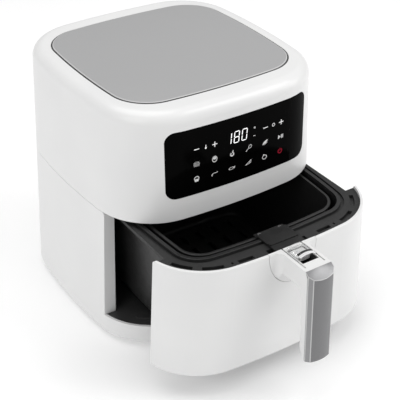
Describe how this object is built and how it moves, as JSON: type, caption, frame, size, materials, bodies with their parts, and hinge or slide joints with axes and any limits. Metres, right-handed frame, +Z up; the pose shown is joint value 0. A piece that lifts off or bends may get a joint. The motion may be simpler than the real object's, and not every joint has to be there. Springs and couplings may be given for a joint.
{
  "type": "drawer air fryer",
  "caption": "White rounded-square hot-air fryer with a touch panel, a pull-out pan and basket, and a grey-fronted handle with a guarded release button.",
  "frame": {"origin": "on the worktop, under the middle of the whole part's box with the drawer pulled out as pictured", "axes": "+Z up, -Y the way the drawer opens, +X to the right of someone facing the touch panel"},
  "size_m": [0.3051, 0.4609, 0.31],
  "materials": {
    "white_shell": "satin white",
    "grey_plate": "satin grey",
    "grip_grey": "satin metallic grey",
    "black_glass": "glossy black",
    "display_black": "matt",
    "black_plastic": "matt",
    "frame_grey": "fine matt",
    "nonstick": "non-stick coat",
    "steel": "brushed",
    "heater_steel": "heat-dulled",
    "aluminium": "pressed",
    "winding": "varnished wire",
    "bush_white": "unglazed",
    "circuit_green": "satin",
    "foot_rubber": "matt",
    "clear_guard": "clear plastic"
  },
  "bodies": {
    "housing": {"upper_housing": "white_shell", "top_plate": "grey_plate", "lower_housing": "white_shell", "base_plate": "black_plastic", "rubber_feet": "foot_rubber", "base_screws": "steel", "touch_panel": "black_glass", "panel_carrier": "black_plastic", "control_board": "circuit_green", "display_module": "display_black", "exhaust_grille": "black_plastic", "cord_gland": "black_plastic", "bay_floor": "black_plastic", "bay_liner": "black_plastic", "drawer_rails": "black_plastic", "chamber_deck": "black_plastic", "heater_reflector": "steel", "heat_shield": "steel", "heating_element": "heater_steel", "heater_bushes": "bush_white", "motor_bridge": "steel", "motor_stator": "steel", "motor_coil": "winding", "bearing_caps": "aluminium", "power_board": "circuit_green", "thermal_cutout": "aluminium", "door_switch": "black_plastic"},
    "plunger": {"switch_plunger": "white_shell"},
    "fan": {"motor_shaft": "steel", "motor_rotor": "steel", "convection_fan": "aluminium", "cooling_fan": "black_plastic", "fan_nut": "steel"},
    "drawer": {"drawer_front": "white_shell", "front_backing": "black_plastic", "drawer_frame": "frame_grey", "pan": "nonstick", "basket": "nonstick", "crisper_plate": "nonstick", "handle_bracket": "nonstick", "handle_screws": "steel", "bracket_rivets": "steel", "handle_body": "white_shell", "grip_insert": "grip_grey", "button_well": "black_plastic", "button_spring": "steel", "latch_pin": "steel", "latch_keeper": "black_plastic"},
    "guard": {"slide_guard": "clear_guard"},
    "button": {"release_button": "white_shell"},
    "latch": {"release_latch": "black_plastic"}
  },
  "joints": [
    {"name": "drawer_slide", "type": "slide", "parent": "housing", "child": "drawer", "axis": [0, -1, 0], "range_m": [-0.1045, 0.1555]},
    {"name": "fan_spin", "type": "hinge", "parent": "housing", "child": "fan", "pos_m": [0, 0.07945, 0.22], "axis": [0, 0, 1], "continuous": true},
    {"name": "guard_slide", "type": "slide", "parent": "drawer", "child": "guard", "axis": [0, -1, 0], "range_m": [0, 0.012]},
    {"name": "button_press", "type": "slide", "parent": "drawer", "child": "button", "axis": [0, 0, -1], "range_m": [0, 0.0025], "stiffness_N_per_m": 800, "deforming": ["button_spring"]},
    {"name": "latch_turn", "type": "hinge", "parent": "drawer", "child": "latch", "pos_m": [0, -0.16235, 0.157], "axis": [1, 0, 0], "range_deg": [0, 8.6]},
    {"name": "plunger_press", "type": "slide", "parent": "housing", "child": "plunger", "axis": [0, 1, 0], "range_m": [0, 0.003], "stiffness_N_per_m": 300}
  ],
  "couplings": [
    {"joint": "latch_turn", "follows": "button_press", "rad_per_m": 58}
  ]
}
